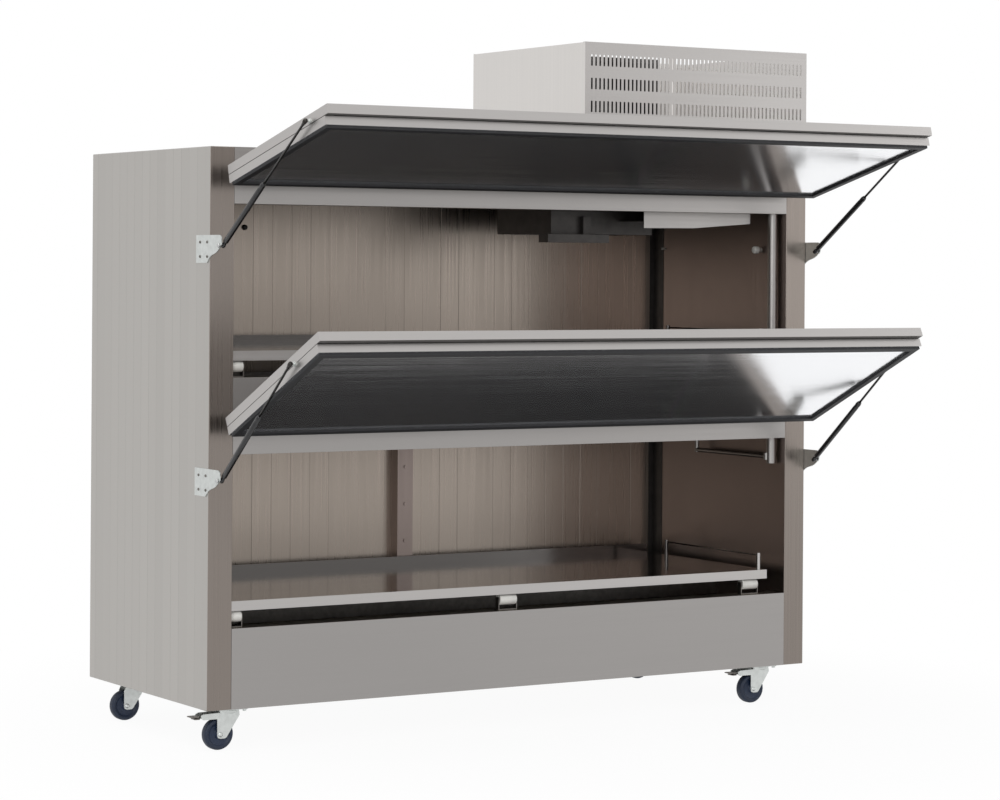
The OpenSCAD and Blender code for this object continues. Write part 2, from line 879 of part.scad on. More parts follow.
// Brake pedal over the wheel, turning on a pin between the legs
module pedal() {
  difference() {
    union() {
      block([-112, -13, -26.5], [-18, 13, -23.5]);
      block([-138, -17, -22], [-104, 17, -19]);
      block([-112, -13, -26.5], [-104, 13, -19]);
      block([-124, -17, -29.5], [-104, 17, -26.5]);
      translate([-20, 0, -24]) rotate([90, 0, 0]) cylinder(r = 5, h = 26, center = true);
    }
    translate([-20, 0, -24]) rotate([90, 0, 0]) cylinder(r = 3 + run_play, h = 40, center = true);
  }
}

// Pin that carries the pedal, part of a front fork
module pedal_pin() {
  translate([-20, 0, -24]) rotate([90, 0, 0]) cylinder(r = 3, h = 2 * fork_in + 2, center = true);
}

module at_castor(i) {
  place() translate([castor_xy[i][0], castor_xy[i][1], 0]) children();
}

module front_left_fork() {
  color("lightgray") at_castor(0) union() {
    fork(brake = true);
    pedal_pin();
  }
}

module front_right_fork() {
  color("lightgray") at_castor(1) union() {
    fork(brake = true);
    pedal_pin();
  }
}

module back_left_fork() {
  color("lightgray") at_castor(2) fork();
}

module back_right_fork() {
  color("lightgray") at_castor(3) fork();
}

module front_left_wheel() {
  color("navy") at_castor(0) translate([-castor_trail, 0, axle_z]) wheel();
}

module front_right_wheel() {
  color("navy") at_castor(1) translate([-castor_trail, 0, axle_z]) wheel();
}

module back_left_wheel() {
  color("navy") at_castor(2) translate([-castor_trail, 0, axle_z]) wheel();
}

module back_right_wheel() {
  color("navy") at_castor(3) translate([-castor_trail, 0, axle_z]) wheel();
}

module front_left_pedal() {
  color("lightgray") at_castor(0) pedal();
}

module front_right_pedal() {
  color("lightgray") at_castor(1) pedal();
}

side_panels();
back_panel();
roof_panel();
base_panel();
mid_deck();
top_header();
front_aprons();
insulation_cores();
body_hinges();
strut_brackets();
bracket_fixings();
roller_brackets();
castor_plates();
evaporator_housing();
drip_tray();
pipework();
wall_fittings();
rear_upright();
climate_front();
climate_walls();
compressor();
condenser();
electrical_box();
steam_generator();
upper_flap_skin();
upper_flap_liner();
upper_flap_core();
upper_flap_seal();
upper_flap_fittings();
lower_flap_skin();
lower_flap_liner();
lower_flap_core();
lower_flap_seal();
lower_flap_fittings();
upper_left_tube();
upper_left_rod();
upper_right_tube();
upper_right_rod();
lower_left_tube();
lower_left_rod();
lower_right_tube();
lower_right_rod();
upper_tray();
lower_tray();
upper_front_rollers();
upper_rear_rollers();
lower_front_rollers();
lower_rear_rollers();
condenser_fan();
evaporator_fan();
front_left_fork();
front_right_fork();
back_left_fork();
back_right_fork();
front_left_wheel();
front_right_wheel();
back_left_wheel();
back_right_wheel();
front_left_pedal();
front_right_pedal();
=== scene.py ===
# %% [markdown]
# # A proofing cabinet, finished in Blender
# The cabinet's measured parts come from CAD and stay where they are. This script gives each one the
# finish of the real thing, replaces the ones whose edges and small details show, and sets up a plain
# studio. Everything is in metres. X runs to the right seen from the front, Y to the back, Z up, and the
# floor is at 0.

# %% Load the measured parts
import json
import math
import bmesh
import bpy
from mathutils import Matrix, Vector

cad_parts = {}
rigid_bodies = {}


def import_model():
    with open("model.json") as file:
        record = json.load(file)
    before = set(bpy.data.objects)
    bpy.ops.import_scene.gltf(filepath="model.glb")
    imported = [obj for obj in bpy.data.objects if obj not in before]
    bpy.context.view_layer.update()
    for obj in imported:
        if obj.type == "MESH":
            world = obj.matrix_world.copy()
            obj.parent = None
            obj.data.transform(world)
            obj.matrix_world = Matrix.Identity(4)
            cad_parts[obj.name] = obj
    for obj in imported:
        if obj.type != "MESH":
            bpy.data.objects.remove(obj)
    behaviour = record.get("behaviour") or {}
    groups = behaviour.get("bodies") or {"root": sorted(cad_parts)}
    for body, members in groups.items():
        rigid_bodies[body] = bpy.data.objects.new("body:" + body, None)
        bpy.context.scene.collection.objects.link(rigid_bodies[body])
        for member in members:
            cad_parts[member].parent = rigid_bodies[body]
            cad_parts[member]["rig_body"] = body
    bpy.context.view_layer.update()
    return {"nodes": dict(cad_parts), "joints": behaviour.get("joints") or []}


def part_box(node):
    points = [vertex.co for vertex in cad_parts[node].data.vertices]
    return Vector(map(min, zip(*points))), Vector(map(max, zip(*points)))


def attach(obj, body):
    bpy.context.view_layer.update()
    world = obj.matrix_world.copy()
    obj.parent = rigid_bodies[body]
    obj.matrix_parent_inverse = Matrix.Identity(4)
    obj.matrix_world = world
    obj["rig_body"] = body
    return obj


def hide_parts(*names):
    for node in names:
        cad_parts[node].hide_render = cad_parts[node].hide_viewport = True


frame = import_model()
NODES = frame["nodes"]
JOINTS = {joint["name"]: joint for joint in frame["joints"]}

# %% [markdown]
# Two lines fix most of the cabinet: the front plane and the underside of the body. The header's box gives
# the first and the base panel's the second, so every later position can be said as a maker would say it,
# such as "50 mm in front of the doorway".

# %% Datum lines
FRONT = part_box("top_header")[0][1]
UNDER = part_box("base_panel")[0][2]
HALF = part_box("side_panels")[1][0]
MM = 0.001    # one millimetre


def at(x, y, z):
    """A point given in millimetres from the middle, the front plane and the underside."""
    return Vector((x * MM, FRONT + y * MM, UNDER + z * MM))


print("front plane", round(FRONT, 4), "underside", round(UNDER, 4), "half width", round(HALF, 4))

# %% [markdown]
# ## Camera
# A long lens from the front left, a little below the height of the upper doorway. The camera is level, so
# that upright edges stay upright, and the view is lowered with the lens shift instead of by tilting, as a
# product photographer does with a shift lens.

# %% Camera
camera_data = bpy.data.cameras.new("studio_camera")
camera_data.sensor_width = 36
camera_data.lens = 106.29
camera_data.shift_y = -0.13225
camera_data.clip_end = 100
camera = bpy.data.objects.new("studio_camera", camera_data)
bpy.context.collection.objects.link(camera)
turn, roll = math.radians(31.697), math.radians(0.38)
forward = Vector((math.sin(turn), math.cos(turn), 0))
level = Vector((math.cos(turn), -math.sin(turn), 0))
up = Vector((0, 0, 1))
right = math.cos(roll) * level + math.sin(roll) * up
top = math.cos(roll) * up - math.sin(roll) * level
spot = at(-5220.0, -8288.2, 1387.0)
camera.matrix_world = Matrix((
    (right.x, top.x, -forward.x, spot.x), (right.y, top.y, -forward.y, spot.y),
    (right.z, top.z, -forward.z, spot.z), (0, 0, 0, 1)))
bpy.context.scene.camera = camera
bpy.context.scene.view_settings.view_transform = "Standard"
print("camera", [round(v, 3) for v in spot])

# %% [markdown]
# ## How materials are written here
# `linear` turns a colour as a painter would pick it, in sRGB hex, into the linear values that the shader
# needs. `add` is the one helper for nodes: it sets a node's options, then its inputs, and an input that
# is given an output socket becomes a link.

# %% Helpers for materials
def linear(code):
    """sRGB hex to a linear colour."""
    part = [int(code[i:i + 2], 16) / 255 for i in (0, 2, 4)]
    return [p / 12.92 if p <= 0.04045 else ((p + 0.055) / 1.055) ** 2.4 for p in part] + [1.0]


def shaded(code, share):
    """The same colour with its light multiplied by share."""
    return [min(1.0, c * share) for c in linear(code)[:3]] + [1.0]


def add(tree, kind, inputs=None, **options):
    """Adds one node, with its options and its inputs."""
    made = tree.nodes.new(kind)
    for name, value in options.items():
        setattr(made, name, value)
    for key, value in (inputs or {}).items():
        if isinstance(value, bpy.types.NodeSocket):
            tree.links.new(value, made.inputs[key])
        else:
            made.inputs[key].default_value = value
    return made


def start(name, **shader):
    """A new material with its main shader; whatever is the same all over is set on the shader itself."""
    made = bpy.data.materials.new(name)
    made.use_nodes = True
    tree = made.node_tree
    tree.nodes.clear()
    main = add(tree, "ShaderNodeBsdfPrincipled", shader)
    add(tree, "ShaderNodeOutputMaterial", {"Surface": main.outputs[0]})
    return made, tree, main


print("helpers ready")

# %% [markdown]
# ## Brushed stainless sheet
# AISI 304 sheet with a belt-ground finish: bright grey with a warm cast, and fine parallel scratches that
# stretch each highlight. The real scratches are about 0.05 mm apart, too fine to show, so they are drawn
# a few millimetres apart. Thin sheet is never flat, so a slow wave bends the reflections a little. The
# panels are pressed into shallow boards, with a hair line between one and the next that catches light on
# one edge.

# %% Stainless finishes
HAIR_LINE = 0.0016    # the dark part of a pressed line; it fades out over as much again


def stainless(name, colour, rough, grain="z", board=None, pitch=0.06, wave=0.004, spread=0.04, line=0.30,
              haze=0.0):
    """Brushed stainless sheet. grain is the axis the scratches run along, board the axis that the lines step
    along, pitch their spacing in metres, line how dark they are, and haze the share of light it scatters."""
    made, tree, main = start(name, Metallic=1.0 - haze)
    where = add(tree, "ShaderNodeTexCoord").outputs["Object"]
    fine, slow = 260.0, 1.6    # scratches in a metre across the grain, and along it
    scale = {"x": (slow, fine, fine), "y": (fine, slow, fine), "z": (fine, fine, slow)}[grain]
    along = add(tree, "ShaderNodeMapping", {"Vector": where, "Scale": scale}).outputs[0]
    scratch = add(tree, "ShaderNodeTexNoise", {"Vector": along, "Scale": 1.0, "Detail": 3.0}).outputs["Fac"]
    patch = add(tree, "ShaderNodeTexNoise", {"Vector": where, "Scale": 1.7, "Detail": 2.0}).outputs["Fac"]
    dull, bright = shaded(colour, 1 - spread * 2), shaded(colour, 1 + spread * 2)
    tone = add(tree, "ShaderNodeMix", {0: scratch, 6: dull, 7: bright}, data_type="RGBA").outputs[2]
    shine = add(tree, "ShaderNodeMapRange", {"Value": scratch, "From Min": 0.3, "From Max": 0.7,
                                            "To Min": rough - 0.05, "To Max": rough + 0.07}).outputs[0]
    relief = add(tree, "ShaderNodeBump", {"Height": patch, "Strength": 1.0, "Distance": wave}).outputs[0]
    relief = add(tree, "ShaderNodeBump", {"Height": scratch, "Strength": 0.2, "Distance": 0.0004,
                                          "Normal": relief}).outputs[0]
    if board:
        axis = add(tree, "ShaderNodeSeparateXYZ", {"Vector": where}).outputs["XYZ".index(board.upper())]
        step = add(tree, "ShaderNodeMath", {0: axis, 1: pitch}, operation="DIVIDE").outputs[0]
        part = add(tree, "ShaderNodeMath", {0: step}, operation="FRACT").outputs[0]
        dark = add(tree, "ShaderNodeMapRange", {
            "Value": part, "From Min": HAIR_LINE / pitch, "From Max": 2 * HAIR_LINE / pitch,
            "To Min": 1.0, "To Max": 0.0}).outputs[0]
        number = add(tree, "ShaderNodeMath", {0: step}, operation="FLOOR").outputs[0]
        odd = add(tree, "ShaderNodeTexWhiteNoise", {"W": number}, noise_dimensions="1D").outputs["Value"]
        deep = add(tree, "ShaderNodeMath", {0: dark, 1: odd}, operation="MULTIPLY").outputs[0]
        lift = add(tree, "ShaderNodeMapRange", {"Value": odd, "To Min": 0.975, "To Max": 1.02}).outputs[0]
        cut = add(tree, "ShaderNodeMapRange", {"Value": deep, "To Min": 1.0, "To Max": 1.0 - line}).outputs[0]
        both = add(tree, "ShaderNodeMath", {0: lift, 1: cut}, operation="MULTIPLY").outputs[0]
        tone = add(tree, "ShaderNodeVectorMath", {0: tone, "Scale": both}, operation="SCALE").outputs[0]
        relief = add(tree, "ShaderNodeBump", {"Height": deep, "Strength": 0.6, "Distance": 0.0008,
                                              "Normal": relief}, invert=True).outputs[0]
    tree.links.new(tone, main.inputs["Base Color"])
    tree.links.new(shine, main.inputs["Roughness"])
    tree.links.new(relief, main.inputs["Normal"])
    return made


# Outer boards: upright scratches and faint hair lines, an even pale grey
OUTER_SIDE = stainless("brushed_stainless_outer_boards", "B0ADA9", 0.38, "z", "y", 0.0585, line=0.16)
OUTER_BACK = stainless("brushed_stainless_rear_boards", "A8A5A0", 0.38, "z", "x", 0.0585, line=0.16)
# Plain outer sheet: the scratches run the long way, so highlights stretch across
OUTER_PLAIN = stainless("brushed_stainless_outer", "B6B3B1", 0.36, "x")
# Folded posts: the same sheet, glossier, with a stronger wave from the folding; darker and browner than the
# sides, which is painted shade
POST_SHADED = stainless("brushed_stainless_post_painted_shade", "857D77", 0.30, "z", wave=0.006)
# A darker copy of the plain sheet for faces to the front, the drip tray and the pipework: painted shade
SHADED_SHEET = stainless("brushed_stainless_front", "9B9896", 0.34, "x", spread=0.02)
# Inner boards: darker and warmer copies of the same sheet, painted shade for the inside of the chambers,
# with deep hair lines that give the back wall its upright stripes
INNER_BOARDS_SHADED = stainless("brushed_stainless_inner_boards_painted_shade", "9C9289", 0.30, "z", "x", 0.0750, line=0.45)
INNER_SIDE_SHADED = stainless("brushed_stainless_inner_side_painted_shade", "8B7F7A", 0.34, "z", wave=0.003, spread=0.02)
INNER_PLAIN_SHADED = stainless("brushed_stainless_inner", "8B8379", 0.36, "y")
# Flap liners: nearly a mirror, with a light haze, so they go from near black to white along the flap
LINER = stainless("polished_stainless_liner", "F8F9FC", 0.15, "x", wave=0.001, spread=0.02, haze=0.05)
# Tray tops: polished, so the back wall shows upside down in them; their dark base colour is painted shade,
# for the shaded lower wall that they reflect
TRAY_SHADED_STEEL = stainless("polished_stainless_tray_painted_shade", "6C6967", 0.12, "x", wave=0.0006, spread=0.02)
# Folded edges of trays and flaps: a bright even band
EDGE_STEEL = stainless("brushed_stainless_edge", "B2AFAD", 0.34, "x", spread=0.02)
# Climate unit's sheets: a finer grind, paler than the body
CASING = stainless("brushed_stainless_casing", "D2CFCC", 0.38, "z", wave=0.003)
CASING_FRONT = stainless("brushed_stainless_grille", "ABA8A6", 0.38, "x", wave=0.003)
print("stainless finishes:", len(bpy.data.materials))

# %% [markdown]
# ## Coated and moulded finishes
# Zinc-plated pressings are paler and duller than stainless, with a cloudy crystal pattern. Black paint on
# the strut cylinders is smooth and glossy. Rubber and nylon are matt, with a fine moulded grain.

# %% Other finishes
def cloudy(name, colour, rough, metal, size=40.0, spread=0.12, bump=0.15):
    """A finish whose tone and gloss vary in soft clouds; size is how many fit in a metre."""
    made, tree, main = start(name, Metallic=metal)
    where = add(tree, "ShaderNodeTexCoord").outputs["Object"]
    cloud = add(tree, "ShaderNodeTexNoise", {"Vector": where, "Scale": size, "Detail": 4.0}).outputs["Fac"]
    fine = {"Vector": where, "Scale": size * 14, "Detail": 2.0}
    speck = add(tree, "ShaderNodeTexNoise", fine).outputs["Fac"]
    ramp = add(tree, "ShaderNodeValToRGB", {"Fac": cloud})
    for stop, place, share in zip(ramp.color_ramp.elements, (0.35, 0.65), (1 - spread, 1 + spread)):
        stop.position = place
        stop.color = shaded(colour, share)
    shine = add(tree, "ShaderNodeMapRange", {"Value": speck, "To Min": max(0.02, rough - 0.08),
                                            "To Max": min(1, rough + 0.08)}).outputs[0]
    grain = add(tree, "ShaderNodeBump", {"Height": speck, "Strength": bump, "Distance": 0.0003}).outputs[0]
    tree.links.new(ramp.outputs[0], main.inputs["Base Color"])
    tree.links.new(shine, main.inputs["Roughness"])
    tree.links.new(grain, main.inputs["Normal"])
    return made


# Zinc plate: pale and dull, with a cloudy bloom
ZINC = cloudy("zinc_plated_steel", "C9CCCA", 0.40, 1.0, 60, 0.06)
DARK_ZINC = cloudy("zinc_plated_screw", "77736F", 0.35, 1.0, 60)
# Black chrome and turned steel: smooth rods with a thin bright streak
DARK_STEEL = cloudy("black_chromed_rod", "3A3836", 0.25, 1.0, 60)
BRIGHT_STEEL = cloudy("turned_bright_steel", "B8B8B8", 0.22, 1.0, 80, 0.05)
# Baked gloss paint: deep black with a clean highlight along the cylinder
BLACK_PAINT = cloudy("black_gloss_paint", "161618", 0.26, 0.0, 30, 0.2, 0.05)
# Extruded rubber: matt, so the seal reads as a soft dark frame. The flap cores are painted matt dark grey:
# painted shade of the seam under the skin's fold, where the core shows at the flap's edge
RUBBER = cloudy("epdm_rubber", "1A1A1D", 0.60, 0.0, 90, 0.25, 0.4)
FLAP_CORE_SHADE = cloudy("painted_shade_flap_core", "4A4846", 0.45, 0.0, 60, 0.1)
# Moulded nylon: milky white with a soft sheen
NYLON = cloudy("white_nylon", "E4E2DC", 0.42, 0.0, 50, 0.04)
# Castor wheels: a dark blue matt tyre on a slightly glossier hub
TREAD = cloudy("blue_elastic_rubber", "0E1D33", 0.55, 0.0, 70, 0.12, 0.3)
HUB = cloudy("blue_nylon_hub", "10223C", 0.45, 0.0, 70, 0.08, 0.1)
# Sawn foam: open cells, fully matt and yellowish
FOAM = cloudy("cut_polyurethane_foam", "D7C98F", 0.95, 0.0, 200, 0.12, 0.8)
# Coated sheet of the cooler: dark brown-grey with a dull shine. The corner strips take the same colour
# as painted shade
COOLER_AND_CORNER_SHADE = cloudy("dark_coated_steel_and_corner_shade", "403D3B", 0.42, 0.5, 30, 0.15)
BLACK_PLASTIC = cloudy("black_abs", "141415", 0.5, 0.0, 60, 0.2)
print("all finishes:", len(bpy.data.materials))

# %% [markdown]
# ## Give every part its finish
# The CAD parts whose shape is already right keep it, and only take a material.

# %% Dress the CAD parts
FINISH = {
    "side_panels": OUTER_SIDE, "back_panel": INNER_BOARDS_SHADED, "roof_panel": OUTER_PLAIN,
    "base_panel": INNER_PLAIN_SHADED, "mid_deck": INNER_PLAIN_SHADED, "top_header": SHADED_SHEET,
    "front_aprons": SHADED_SHEET, "insulation_cores": FOAM, "body_hinges": ZINC,
    "strut_brackets": ZINC, "bracket_fixings": ZINC, "roller_brackets": DARK_ZINC, "castor_plates": ZINC,
    "evaporator_housing": COOLER_AND_CORNER_SHADE, "drip_tray": SHADED_SHEET, "pipework": SHADED_SHEET,
    "wall_fittings": NYLON, "rear_upright": INNER_SIDE_SHADED, "climate_front": CASING_FRONT,
    "climate_walls": CASING, "compressor": BLACK_PAINT, "condenser": COOLER_AND_CORNER_SHADE,
    "electrical_box": COOLER_AND_CORNER_SHADE, "steam_generator": TRAY_SHADED_STEEL, "condenser_fan": BLACK_PLASTIC,
    "evaporator_fan": BLACK_PLASTIC,
}
ENDINGS = {
    "_flap_skin": OUTER_PLAIN, "_flap_liner": LINER, "_flap_core": FLAP_CORE_SHADE, "_flap_seal": RUBBER,
    "_flap_fittings": ZINC, "_tube": BLACK_PAINT, "_rod": DARK_STEEL, "_tray": TRAY_SHADED_STEEL,
    "_rollers": NYLON, "_fork": ZINC, "_wheel": TREAD, "_pedal": DARK_ZINC,
}


def dress(name, material):
    """Gives a CAD part one material."""
    slots = NODES[name].data.materials
    slots.clear()
    slots.append(material)


for name in NODES:
    ending = [m for end, m in ENDINGS.items() if name.endswith(end)]
    dress(name, FINISH[name] if name in FINISH else ending[0])
print("dressed", len(NODES), "parts")

# %% [markdown]
# ## Helpers for shapes
# `islands` finds the separate bodies in a mesh. `merged` copies a CAD part as clean faces and leaves out
# the hollow inside a closed sheet box, which nobody sees. `eased` rounds its outer edges, `turned` makes
# a closed shape as on a lathe, and `plate` cuts one from flat stock. `piece` hands the result over to its
# CAD body.

# %% Shape helpers
SHARP = math.radians(30)    # an edge that bends more than this is rounded
CREASE = math.radians(32)   # a turned shape's edge that bends more than this stays crisp


def islands(work):
    """The separate bodies of a mesh, each as its list of corners."""
    left, found = set(work.verts), []
    while left:
        group, wave = [], [left.pop()]
        while wave:
            corner = wave.pop()
            group.append(corner)
            for edge in corner.link_edges:
                other = edge.other_vert(corner)
                if other in left:
                    left.discard(other)
                    wave.append(other)
        found.append(group)
    return found


def span(corners):
    """Lowest and highest corner of a group."""
    return (Vector([min(c.co[i] for c in corners) for i in range(3)]),
            Vector([max(c.co[i] for c in corners) for i in range(3)]))


def merged(name):
    """A CAD part as clean faces, without the hollow of a closed box."""
    work = bmesh.new()
    work.from_mesh(NODES[name].data)
    bmesh.ops.remove_doubles(work, verts=work.verts, dist=1e-5)
    bmesh.ops.dissolve_limit(work, angle_limit=0.02, verts=work.verts, edges=work.edges)
    groups = [(group, *span(group)) for group in islands(work)]
    hollow = [g for g, low, high in groups for other, a, b in groups if other is not g
              and all(a[i] < low[i] - 5e-4 and high[i] + 5e-4 < b[i] for i in range(3))]
    bmesh.ops.delete(work, geom=[c for g in hollow for c in g], context="VERTS")
    return work


def boxes(name):
    """The box of each separate body of a CAD part, sorted from left to right."""
    work = merged(name)
    found = sorted((span(group) for group in islands(work)), key=lambda pair: tuple(pair[0]))
    work.free()
    return found


def eased(work, width, steps=2, faces=None):
    """Rounds the sharp outer edges."""
    pool = work.edges if faces is None else {e for f in faces for e in f.edges}
    sharp = [e for e in pool if len(e.link_faces) == 2 and e.calc_face_angle_signed(0) > SHARP]
    bmesh.ops.bevel(work, geom=sharp, offset=width, segments=steps, profile=0.5, affect="EDGES",
                    clamp_overlap=True)
    return work


def turned(work, outline, begin, along, steps=36, finish=0):
    """Turns an outline of (distance, radius) in millimetres about an axis. It begins and ends at radius 0."""
    along = Vector(along).normalized()
    side = along.orthogonal().normalized()
    other = along.cross(side)
    rings = []
    for distance, radius in outline:
        centre = Vector(begin) + along * distance * MM
        angles = [math.tau * i / steps for i in range(steps if radius else 1)]
        rings.append([work.verts.new(centre + radius * MM * (math.cos(a) * side + math.sin(a) * other))
                      for a in angles])
    for a, b in zip(rings, rings[1:]):
        for i in range(steps):
            j = (i + 1) % steps
            corners = [a[i], a[j], b[j], b[i]] if len(a) == len(b) else (
                [a[0], b[j], b[i]] if len(a) == 1 else [a[i], a[j], b[0]])
            face = work.faces.new(corners)
            face.smooth = True
            face.material_index = finish
    for a in rings:
        for corner in a:
            for edge in corner.link_edges:
                edge.smooth = edge.calc_face_angle(0) < CREASE
    return work


def plate(work, outline, place, thick, ease):
    """Cuts an outline from flat stock. place(u, v, w) gives a point in metres from millimetres."""
    low, high = ([work.verts.new(place(u, v, w)) for u, v in outline] for w in thick)
    faces = [work.faces.new(list(reversed(low))), work.faces.new(high)]
    faces += [work.faces.new([low[i - 1], low[i], high[i], high[i - 1]]) for i in range(len(outline))]
    bmesh.ops.recalc_face_normals(work, faces=faces)
    return eased(work, ease * MM, 2, faces)


def bar(work, low, high, ease=0.8):
    """A flat bar between two points, with eased edges."""
    outline = [(low[0], low[1]), (high[0], low[1]), (high[0], high[1]), (low[0], high[1])]
    return plate(work, outline, at, (low[2], high[2]), ease)


def rounded(width, depth, radius):
    """A rectangle about its own middle with round corners."""
    points, steps = [], 6
    for k, (sx, sy) in enumerate(((1, 1), (-1, 1), (-1, -1), (1, -1))):
        for i in range(steps + 1):
            angle = math.pi / 2 * (k + i / steps)
            points.append((sx * (width / 2 - radius) + radius * math.cos(angle),
                           sy * (depth / 2 - radius) + radius * math.sin(angle)))
    return points


def piece(name, work, body, finishes, stands_for=()):
    """Makes the mesh an object, and hands it to the body that it moves with."""
    if isinstance(work, bmesh.types.BMesh):
        mesh = bpy.data.meshes.new(name)
        work.to_mesh(mesh)
        work.free()
    else:
        mesh = work
        mesh.materials.clear()
    for finish in finishes:
        mesh.materials.append(finish)
    made = bpy.data.objects.new(name, mesh)
    bpy.context.collection.objects.link(made)
    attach(made, body)
    if stands_for:
        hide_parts(*stands_for)
    return made


print("shape helpers ready")

# %% [markdown]
# ## Insulated body panels
# Each panel is two skins of 1.2 mm sheet on foam, folded over at the edges with a radius of about 2.5 mm.
# The fold shows as a thin bright line, and where two panels meet their two folds make a narrow dark seam.
# A copy of the CAD box with eased edges gives both. Every side of a panel has its own finish, so each
# face is sorted by the way it looks. The faces to the front and inside the chambers take darker copies of
# the same sheet: painted shade.

# %% Body panels
def faced(work, rule):
    """Gives each face the material number that rule(normal, centre) returns."""
    work.normal_update()
    for face in work.faces:
        face.material_index = rule(face.normal, face.calc_center_median())
    return work


FOLD = 2.5 * MM
MOSTLY = 0.6     # the share of a normal that still counts as facing that way, halfway round a fold included
SQUARE = 0.75    # the share that leaves the folds out
PANELS = {
    "side_panels": ([OUTER_SIDE, POST_SHADED, INNER_SIDE_SHADED, OUTER_PLAIN],
                    lambda n, c: (0 if abs(c.x) > HALF - 0.02 else 2) if abs(n.x) > SQUARE
                    else 1 if n.y < -MOSTLY else 3),
    "back_panel": ([INNER_BOARDS_SHADED, OUTER_BACK, OUTER_PLAIN],
                   lambda n, c: 0 if n.y < -MOSTLY else 1 if n.y > MOSTLY else 2),
    "roof_panel": ([OUTER_PLAIN, INNER_SIDE_SHADED], lambda n, c: 1 if n.z < -MOSTLY else 0),
    "base_panel": ([OUTER_PLAIN, INNER_PLAIN_SHADED], lambda n, c: 1 if n.z > MOSTLY else 0),
    "mid_deck": ([INNER_PLAIN_SHADED, INNER_SIDE_SHADED], lambda n, c: 1 if n.z < -MOSTLY else 0),
    "top_header": ([SHADED_SHEET, INNER_PLAIN_SHADED], lambda n, c: 1 if n.y > MOSTLY or n.z < -MOSTLY else 0),
    "front_aprons": ([SHADED_SHEET, INNER_PLAIN_SHADED], lambda n, c: 1 if n.y > MOSTLY or n.z > MOSTLY else 0),
}
for name, (finishes, rule) in PANELS.items():
    piece(name + "_folded", faced(eased(merged(name), FOLD, 3), rule), "cabinet", finishes, (name,))
print("panels:", len(PANELS))

# %% [markdown]
# ## Flap pans and trays
# A flap is two pans, an outer skin and a polished liner, and each tray is one sheet. Their folded edges
# catch the light as a bright band, so the flat faces and the edges have different finishes. The tray tops
# are darkened with painted shade.

# %% Pans and trays
TIERS = "upper", "lower"
for tier in TIERS:
    for part, finish in (("skin", OUTER_PLAIN), ("liner", LINER)):
        pan = merged(f"{tier}_flap_{part}")
        pan.normal_update()
        flat = max(pan.faces, key=lambda face: face.calc_area()).normal.copy()
        piece(f"{tier}_flap_{part}_edged", faced(pan, lambda n, c: 0 if abs(n.dot(flat)) > 0.5 else 1),
              f"{tier}_flap", [finish, EDGE_STEEL], (f"{tier}_flap_{part}",))
    # tray tops: the darkened polished finish, painted shade; the front fold: the edge finish
    sheet = faced(merged(f"{tier}_tray"), lambda n, c: 1 if n.y < -MOSTLY and c.y < FRONT + 0.1 else 0)
    piece(f"{tier}_tray_folded", sheet, f"{tier}_tray_body", [TRAY_SHADED_STEEL, EDGE_STEEL], (f"{tier}_tray",))
print("flap pans:", 2 * len(TIERS), "trays:", len(TIERS))

# %% [markdown]
# ## Gas struts
# A gas strut is a black-painted cylinder with a rolled-in collar at its open end, a thin black-chromed
# rod, and a ball socket on each end. All of it is round, so it is turned. Its line runs from the tube's
# pivot, on the bracket's ball, to the upper end of the rod, on the flap's ball.

# %% Gas struts
BALL_END = 7.5                 # from a ball's centre to the end of its socket
TUBE_R, TUBE_END = 8.8, 331    # the tube's radius, and its open end counted from the ball
ROD_R = 3.9
ROD_START = TUBE_END - 4       # the rod begins just inside the tube's collar
for tier in TIERS:
    for side in ("left", "right"):
        tube, rod = f"{tier}_{side}_tube", f"{tier}_{side}_rod"
        foot = Vector(JOINTS[f"{tube}_pivot"]["pos_m"])
        low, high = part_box(rod)
        head = Vector((foot.x, low.y + BALL_END * MM, high.z - BALL_END * MM))
        line = head - foot
        reach = line.length / MM
        socket = [(-BALL_END, 0), (-6.8, 4.5), (-3.5, 7.4), (5, 7.6), (11, 6.4), (12, 5), (19, 5), (20, 7.5)]
        barrel = [(23, TUBE_R), (TUBE_END - 26, TUBE_R), (TUBE_END - 23, 8.2), (TUBE_END - 21, 8.2)]
        collar = [(TUBE_END - 18, TUBE_R), (TUBE_END - 9, TUBE_R), (TUBE_END - 4, 7.6), (TUBE_END, 6.2),
                  (TUBE_END, 0)]
        work = turned(bmesh.new(), socket + barrel + collar, foot, line)
        piece(tube + "_turned", work, NODES[tube]["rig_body"], [BLACK_PAINT], (tube,))
        shaft = [(reach - ROD_START, 0), (reach - ROD_START, ROD_R), (reach - 20, ROD_R), (reach - 19, 5.2)]
        eye = [(reach - 11, 5.2), (reach - 10, 6.6), (reach - 4, 7.4), (reach + 3.5, 7.2),
               (reach + 6.6, 4.5), (reach + 7.2, 0)]
        work = turned(bmesh.new(), shaft + eye, foot, line)
        piece(rod + "_turned", work, NODES[rod]["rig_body"], [DARK_STEEL], (rod,))
print("struts turned")

# %% [markdown]
# ## Screws, as a tree of nodes
# The brackets are held by pan-head screws with a cross recess, and the castor plates by hex bolts on
# washers. Such things repeat, so one Geometry Nodes tree makes one fastener and puts a copy at each
# point, turned to face the way that the point's own direction says.

